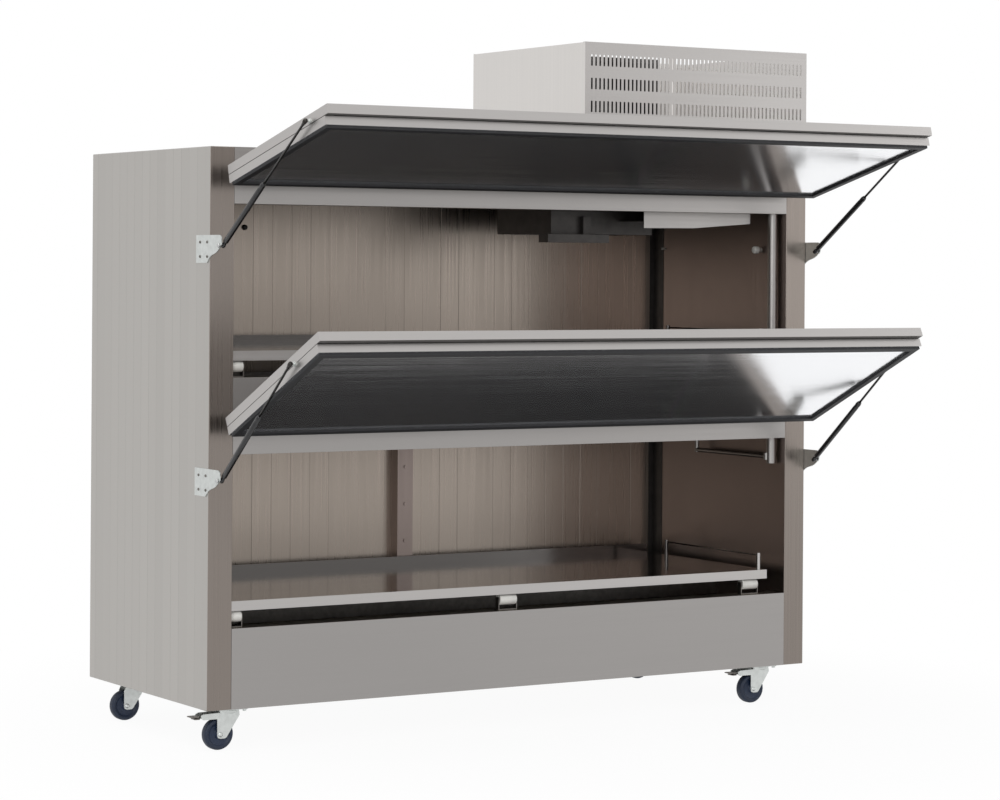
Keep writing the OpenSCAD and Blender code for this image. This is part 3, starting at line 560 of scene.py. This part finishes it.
# %% The fastener tree
def fastener_tree(name, hexagonal):
    """A tree that puts a pan-head screw or a hex bolt at each point."""
    tree = bpy.data.node_groups.new(name, "GeometryNodeTree")
    for label, kind in (("Places", "NodeSocketGeometry"), ("Head radius", "NodeSocketFloat"),
                        ("Head height", "NodeSocketFloat"), ("Finish", "NodeSocketMaterial")):
        tree.interface.new_socket(label, in_out="INPUT", socket_type=kind)
    tree.interface.new_socket("Fasteners", in_out="OUTPUT", socket_type="NodeSocketGeometry")
    given = add(tree, "NodeGroupInput")
    radius, height = given.outputs["Head radius"], given.outputs["Head height"]
    if hexagonal:
        half = add(tree, "ShaderNodeMath", {0: height, 1: 0.5}, operation="MULTIPLY").outputs[0]
        lift = add(tree, "ShaderNodeCombineXYZ", {"Z": half}).outputs[0]
        prism = {"Vertices": 6, "Radius": radius, "Depth": height}
        head = add(tree, "GeometryNodeMeshCylinder", prism).outputs[0]
        head = add(tree, "GeometryNodeTransform", {"Geometry": head, "Translation": lift}).outputs[0]
        wide = add(tree, "ShaderNodeMath", {0: radius, 1: 1.35}, operation="MULTIPLY").outputs[0]
        disc = {"Vertices": 28, "Radius": wide, "Depth": 1.4 * MM}
        washer = add(tree, "GeometryNodeMeshCylinder", disc).outputs[0]
        joined = add(tree, "GeometryNodeJoinGeometry")
        tree.links.new(head, joined.inputs[0])
        tree.links.new(washer, joined.inputs[0])
        shape = joined.outputs[0]
    else:
        flat = add(tree, "ShaderNodeCombineXYZ", {"X": radius, "Y": radius, "Z": height}).outputs[0]
        dome = add(tree, "GeometryNodeMeshUVSphere", {"Segments": 20, "Rings": 10, "Radius": 1.0}).outputs[0]
        dome = add(tree, "GeometryNodeTransform", {"Geometry": dome, "Scale": flat}).outputs[0]
        long = add(tree, "ShaderNodeMath", {0: radius, 1: 1.1}, operation="MULTIPLY").outputs[0]
        thin = add(tree, "ShaderNodeMath", {0: radius, 1: 0.25}, operation="MULTIPLY").outputs[0]
        sizes = [add(tree, "ShaderNodeCombineXYZ", {"X": a, "Y": b, "Z": height}).outputs[0]
                 for a, b in ((long, thin), (thin, long))]
        above = add(tree, "ShaderNodeCombineXYZ", {"Z": height}).outputs[0]
        blocks = [add(tree, "GeometryNodeMeshCube", {"Size": size}).outputs[0] for size in sizes]
        slots = [add(tree, "GeometryNodeTransform", {"Geometry": block, "Translation": above}).outputs[0]
                 for block in blocks]
        cut = add(tree, "GeometryNodeMeshBoolean", operation="DIFFERENCE")
        tree.links.new(dome, cut.inputs["Mesh 1"])
        for slot in slots:
            tree.links.new(slot, cut.inputs["Mesh 2"])
        shape = cut.outputs[0]
    facing = add(tree, "GeometryNodeInputNamedAttribute", {"Name": "facing"},
                 data_type="FLOAT_VECTOR").outputs[0]
    turning = add(tree, "FunctionNodeAlignRotationToVector", {"Vector": facing}, axis="Z").outputs[0]
    points = add(tree, "GeometryNodeMeshToPoints", {"Mesh": given.outputs["Places"]}).outputs[0]
    copies = add(tree, "GeometryNodeInstanceOnPoints",
                 {"Points": points, "Instance": shape, "Rotation": turning}).outputs[0]
    real = add(tree, "GeometryNodeRealizeInstances", {"Geometry": copies}).outputs[0]
    finish = given.outputs["Finish"]
    done = add(tree, "GeometryNodeSetMaterial", {"Geometry": real, "Material": finish}).outputs[0]
    add(tree, "NodeGroupOutput", {0: done})
    return tree


def fastened(name, tree, places, radius, height, finish):
    """The plain mesh that the tree makes at these (point, direction) places."""
    mesh = bpy.data.meshes.new(name + "_places")
    mesh.from_pydata([point for point, facing in places], [], [])
    layer = mesh.attributes.new("facing", "FLOAT_VECTOR", "POINT")
    for item, (point, facing) in zip(layer.data, places):
        item.vector = facing
    holder = bpy.data.objects.new(name + "_places", mesh)
    bpy.context.collection.objects.link(holder)
    modifier = holder.modifiers.new("fasteners", "NODES")
    modifier.node_group = tree
    wanted = {"Head radius": radius * MM, "Head height": height * MM, "Finish": finish}
    for item in tree.interface.items_tree:
        if item.in_out == "INPUT" and item.name in wanted:
            modifier[item.identifier] = wanted[item.name]
    bpy.context.view_layer.update()
    made = bpy.data.meshes.new_from_object(holder.evaluated_get(bpy.context.evaluated_depsgraph_get()))
    holder.modifiers.remove(modifier)
    bpy.data.objects.remove(holder)
    made.name = name
    return made


SCREWS = fastener_tree("pan_head_screws", False)
BOLTS = fastener_tree("hex_bolts", True)
print("fastener trees ready")

# %% [markdown]
# ## Strut brackets
# Each bracket is a 3 mm zinc-plated plate, screwed to the outer side with four screws, with a ball stud
# that is riveted through its tip. The CAD plates stay. The screws and studs are small round things, so
# the CAD parts in their places say where they are, and the tree and the lathe give the shapes.

# %% Bracket screws and studs
SCREW_R, SCREW_H = 4.6, 2.2    # a screw's head
LONGEST_SCREW = 12 * MM        # what is longer is a stud
screws, studs = [], []
for low, high in boxes("bracket_fixings"):
    middle = (low + high) / 2
    outward = Vector((1 if middle.x > 0 else -1, 0, 0))
    outer = high.x if middle.x > 0 else low.x
    if high.x - low.x < LONGEST_SCREW:
        screws.append(((outer - outward.x * SCREW_H * MM, middle.y, middle.z), outward))
    else:
        studs.append((Vector((outer, middle.y, middle.z)), outward, (high.x - low.x) / MM))
heads = fastened("bracket_screws", SCREWS, screws, SCREW_R, SCREW_H, DARK_ZINC)
piece("bracket_screws", heads, "cabinet", [DARK_ZINC])
work = bmesh.new()
for end, outward, long in studs:
    shank = [(-0.2, 0), (-0.2, 5.2), (1.2, 6.6), (4.4, 6.6), (4.6, 4.0), (long - 9, 4.0)]
    ball = [(long - 8, 5), (long - 4, 6.4), (long - 1.5, 5), (long - 0.3, 2), (long - 0.3, 0)]
    turned(work, shank + ball, end, -outward, 24)
piece("bracket_studs", work, "cabinet", [BRIGHT_STEEL], ("bracket_fixings",))
print("screws:", len(screws), "studs:", len(studs))

# %% [markdown]
# ## Nylon rollers
# The trays run on turned nylon rollers on steel pins. Each roller has chamfered ends, a shallow recess in
# its face and the pin's end showing in it.

# %% Rollers
PIN_R, RECESS = 6, 1.6    # the pin's end, and the depth of the recess round it
for name in [n for n in NODES if n.endswith("_rollers")]:
    work = bmesh.new()
    for low, high in boxes(name):
        long, r = (high.x - low.x) / MM, (high.z - low.z) / 2 / MM
        begin = Vector((low.x, (low.y + high.y) / 2, (low.z + high.z) / 2))
        half = [(0.1, 0), (0.1, PIN_R), (RECESS, PIN_R + 0.4), (RECESS, r - 4), (0.2, r - 3.2),
                (0.2, r - 1.6), (1.8, r - 0.05)]
        turned(work, half + [(long - d, radius) for d, radius in reversed(half)], begin, (1, 0, 0))
    piece(name + "_turned", work, NODES[name]["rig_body"], [NYLON], (name,))
print("rollers turned")

# %% [markdown]
# ## Castors
# A 100 mm castor: an elastic rubber tyre on a nylon hub, a fork pressed from 4 mm sheet, and a top plate
# with four bolts. The front two have a brake, so their forks have cheeks that reach over the wheel, and a
# pedal with two tongues. The fork's legs are cut from flat stock and eased, and all the round parts are
# turned.

# %% Castors
BOLT_X, BOLT_Y = 40, 33              # the four bolts, from the swivel's axis
CHEEK_IN, CHEEK_OUT = 19.05, 22.95   # a fork leg's two faces, from the wheel's middle
WHEEL_W, HUB_R = 36, 36              # the wheel's width, and the radius where the tyre begins
AXLE_R, AXLE_LONG = 5.9, 38
PEDAL_HALF = 13                      # half the width of a pedal's arm
plates = bmesh.new()
bolts = []
for name in ("front_left", "front_right", "back_left", "back_right"):
    swivel = Vector(JOINTS[f"{name}_swivel"]["pos_m"])
    hub = Vector(JOINTS[f"{name}_wheel_spin"]["pos_m"])
    cx, cy = swivel.x / MM, (swivel.y - FRONT) / MM
    trail, drop = (hub.x - swivel.x) / MM, (hub.z - UNDER) / MM
    plate(plates, [(cx + u, cy + v) for u, v in rounded(100, 84, 7)], at, (-3, 0), 0.7)
    kingpin = [(0, 0), (0, 11), (1.2, 12), (9, 12), (10, 11), (10, 6), (13, 5.6), (13.8, 4.6), (13.8, 0)]
    turned(plates, kingpin, at(cx, cy, -3), (0, 0, -1), 24)
    bolts += [(at(cx + u, cy + v, -3.7), Vector((0, 0, -1))) for u in (-BOLT_X, BOLT_X)
              for v in (-BOLT_Y, BOLT_Y)]
    fork = bmesh.new()
    crown = [(0, 0), (0, 26), (0.8, 28.2), (5, 28.9), (9, 28.2), (12.5, 24), (13, 0)]
    turned(fork, crown, at(cx, cy, -3.3), (0, 0, -1))
    braked = name.startswith("front")
    leg = [(-34, -3.3), (26, -3.3), (28.8, -22), (trail + 22, drop - 9), (trail + 16, drop - 12.8),
           (trail, drop - 13), (trail - 9, drop - 10), (trail - 11, drop - 3), (trail - 11, -31)]
    if braked:
        leg += [(-96, -30.8), (-103.8, -27), (-105.7, -17), (-96, -12.2), (-38, -10.7)]
    pocket = [(trail - 6, drop + 2), (trail + 15, drop - 2), (trail + 12, drop - 8), (trail - 4, drop - 9)]
    for sign in (-1, 1):
        inner, outer = sign * CHEEK_IN, sign * CHEEK_OUT
        plate(fork, leg, lambda u, v, w: at(cx + u, cy + w, v), sorted((inner, outer)), 0.8)
        plate(fork, pocket, lambda u, v, w: at(cx + u, cy + w, v),
              sorted((outer - sign * 0.5, outer + sign * 1.2)), 0.5)
        turned(fork, [(0, 0), (0, 8.2), (1.2, 8.2), (1.2, 6), (4.4, 5.6), (5, 4.4), (5, 0)],
               Vector((hub.x, hub.y + outer * MM, hub.z)), (0, sign, 0), 6)
    turned(fork, [(0, 0), (0, AXLE_R), (AXLE_LONG, AXLE_R), (AXLE_LONG, 0)],
           Vector((hub.x, hub.y - AXLE_LONG / 2 * MM, hub.z)), (0, 1, 0), 24)
    piece(f"{name}_fork_pressed", fork, f"{name}_castor", [ZINC], (f"{name}_fork",))
    wheel = bmesh.new()
    half = [(0, 0), (0, 13), (1.5, 14), (7, 15.5), (7.6, 17), (6.2, 31), (5.2, 35.5), (2.2, 36.5),
            (2.2, 43.5), (3.4, 46.5), (6.5, 48.8), (10.5, 49.9)]
    turned(wheel, half + [(WHEEL_W - d, r) for d, r in reversed(half)],
           Vector((hub.x, hub.y - WHEEL_W / 2 * MM, hub.z)), (0, 1, 0), 64)
    for face in wheel.faces:
        centre = face.calc_center_median()
        face.material_index = 0 if math.hypot(centre.x - hub.x, centre.z - hub.z) > HUB_R * MM else 1
    piece(f"{name}_wheel_turned", wheel, f"{name}_wheel_body", [TREAD, HUB], (f"{name}_wheel",))
    if braked:
        pedal = bmesh.new()
        bar(pedal, (cx - 111, cy - PEDAL_HALF, -26.5), (cx - 18, cy + PEDAL_HALF, -23.5))
        bar(pedal, (cx - 112, cy - PEDAL_HALF, -26.4), (cx - 109, cy + PEDAL_HALF, -19.2))
        plate(pedal, [(cx - 121 + u, cy + v) for u, v in rounded(33.6, 33.6, 6)], at, (-22, -19.1), 0.8)
        plate(pedal, [(cx - 114 + u, cy + v) for u, v in rounded(19.6, 33.6, 5)], at, (-29.4, -26.5), 0.8)
        turned(pedal, [(0, 0), (0, 4.8), (2 * PEDAL_HALF, 4.8), (2 * PEDAL_HALF, 0)],
               at(cx - 20, cy - PEDAL_HALF, -24), (0, 1, 0), 20)
        piece(f"{name}_pedal_pressed", pedal, f"{name}_pedal_body", [DARK_ZINC], (f"{name}_pedal",))
piece("castor_plates_pressed", plates, "cabinet", [ZINC], ("castor_plates",))
heads = fastened("castor_bolts", BOLTS, bolts, 6.4, 5.2, ZINC)
piece("castor_bolts", heads, "cabinet", [ZINC])
print("castor bolts:", len(bolts))

# %% [markdown]
# ## Fittings on the chamber walls
# A white nylon knob near the doorway, a dark sensor in the back wall, and a small clip. A dark folded
# strip stands in the upright corner between the back and the right side in each chamber: painted shade,
# for the dark reflection in that corner.

# %% Wall fittings and painted corner shade
work = bmesh.new()
sensor, *wall = boxes("wall_fittings")
low, high = sensor
turned(work, [(0, 0), (0, 7), (2, 8.4), (5, 9.2), (9.9, 9.9), (9.9, 0)],
       Vector(((low.x + high.x) / 2, low.y, (low.z + high.z) / 2)), (0, 1, 0), 28, finish=1)
for low, high in wall:
    long, r = (high.x - low.x) / MM, (high.z - low.z) / 2 / MM
    begin = Vector((high.x, (low.y + high.y) / 2, (low.z + high.z) / 2))
    stem = [(0, 0), (0, r * 0.7), (long * 0.35, r * 0.66)]
    knob = [(long * 0.4, r - 0.6), (long * 0.5, r - 0.05), (long * 0.85, r - 0.05), (long - 0.8, r * 0.8),
            (long - 0.05, r * 0.45), (long - 0.05, 0)]
    turned(work, stem + knob, begin, (-1, 0, 0), 28)
piece("wall_fittings_turned", work, "cabinet", [NYLON, BLACK_PLASTIC], ("wall_fittings",))
LEG_SIDE, LEG_BACK, SHEET, GAP = 62, 20, 1.5, 0.2    # the angle's two legs, its sheet and the air behind it
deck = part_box("mid_deck")
corner_x, corner_y = deck[1][0] / MM, (deck[1][1] - FRONT) / MM
work = bmesh.new()
for bottom, ceiling in ((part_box("base_panel")[1][2], deck[0][2]), (deck[1][2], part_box("roof_panel")[0][2])):
    bottom, ceiling = (bottom - UNDER) / MM, (ceiling - UNDER) / MM
    corner = corner_x - GAP, corner_y - GAP, ceiling - 0.5
    thick = SHEET + GAP
    joint = corner_x - thick - 0.1, *corner[1:]
    bar(work, (corner_x - thick, corner_y - LEG_SIDE, bottom + 0.5), corner, 0.4)
    bar(work, (corner_x - LEG_BACK, corner_y - thick, bottom + 0.5), joint, 0.4)
# painted shade: dark folded strips in the corners, for the dark reflection there
piece("painted_shade_corner_strips", work, "cabinet", [COOLER_AND_CORNER_SHADE])
print("chamber fittings ready")

# %% [markdown]
# ## Studio
# A pale floor that fades into a white surround. Camera and mirror rays see both as white, and the light
# on the cabinet comes from a soft surround and three large lamps: one above, one front left, and a weak
# one right. The white of the floor gives way to real shading near the cabinet, so that it keeps its
# shadow.

# %% Floor and surround
floor_mesh = bpy.data.meshes.new("studio_floor")
REACH = 30    # the floor's edge, far outside the picture
floor_mesh.from_pydata([(-REACH, -REACH, 0), (REACH, -REACH, 0), (REACH, REACH, 0), (-REACH, REACH, 0)],
                       [], [(0, 1, 2, 3)])
floor = bpy.data.objects.new("studio_floor", floor_mesh)
bpy.context.collection.objects.link(floor)
paper, paper_tree, paper_main = start("white_paper", Roughness=0.9)
paper_main.inputs["Base Color"].default_value = linear("EFEFEF")
ray = add(paper_tree, "ShaderNodeLightPath")
ground = add(paper_tree, "ShaderNodeTexCoord").outputs["Object"]
away = add(paper_tree, "ShaderNodeVectorMath", {0: ground}, operation="LENGTH").outputs["Value"]
fade = add(paper_tree, "ShaderNodeMapRange", {"Value": away, "From Min": 1.2, "From Max": 2.6, "To Min": 0.94,
                                             "To Max": 1.0}, interpolation_type="SMOOTHSTEP").outputs[0]
seen = add(paper_tree, "ShaderNodeMath", {0: ray.outputs["Is Camera Ray"], 1: ray.outputs["Is Glossy Ray"]},
           operation="MAXIMUM").outputs[0]
share = add(paper_tree, "ShaderNodeMath", {0: seen, 1: fade}, operation="MULTIPLY").outputs[0]
glow = add(paper_tree, "ShaderNodeEmission", {"Color": linear("FFFFFF"), "Strength": 1.0}).outputs[0]
mixed = add(paper_tree, "ShaderNodeMixShader", {0: share, 1: paper_main.outputs[0], 2: glow}).outputs[0]
paper_out = [n for n in paper_tree.nodes if n.type == "OUTPUT_MATERIAL"][0]
paper_tree.links.new(mixed, paper_out.inputs["Surface"])
floor_mesh.materials.append(paper)

world = bpy.data.worlds.new("studio_world")
bpy.context.scene.world = world
world.use_nodes = True
sky = world.node_tree
sky.nodes.clear()
path = add(sky, "ShaderNodeLightPath")
white = add(sky, "ShaderNodeBackground", {"Color": linear("FFFFFF"), "Strength": 1.0}).outputs[0]
soft = add(sky, "ShaderNodeBackground", {"Color": linear("F6F6F8"), "Strength": 0.6}).outputs[0]
show = add(sky, "ShaderNodeMath", {0: path.outputs["Is Camera Ray"], 1: path.outputs["Is Glossy Ray"]},
           operation="MAXIMUM").outputs[0]
both = add(sky, "ShaderNodeMixShader", {0: show, 1: soft, 2: white}).outputs[0]
add(sky, "ShaderNodeOutputWorld", {"Surface": both})
print("floor and surround ready")

# %% Lamps
def lamp(name, place, aim, size, watts):
    """A square soft box at one point, facing another."""
    data = bpy.data.lights.new(name, "AREA")
    data.shape = "SQUARE"
    data.size = size
    data.energy = watts
    made = bpy.data.objects.new(name, data)
    bpy.context.collection.objects.link(made)
    made.location = place
    made.rotation_euler = (Vector(aim) - Vector(place)).to_track_quat("-Z", "Y").to_euler()
    return made


lamp("overhead", (-1.5, -0.5, 5.4), (0, 0, 1.0), 4.5, 130)
lamp("key_front_left", (-4.5, -5.5, 3.4), (0, 0, 1.0), 4.0, 120)
lamp("fill_right", (5.0, -3.5, 2.4), (0.4, 0, 1.1), 3.5, 25)
print("lamps:", len(bpy.data.lights))
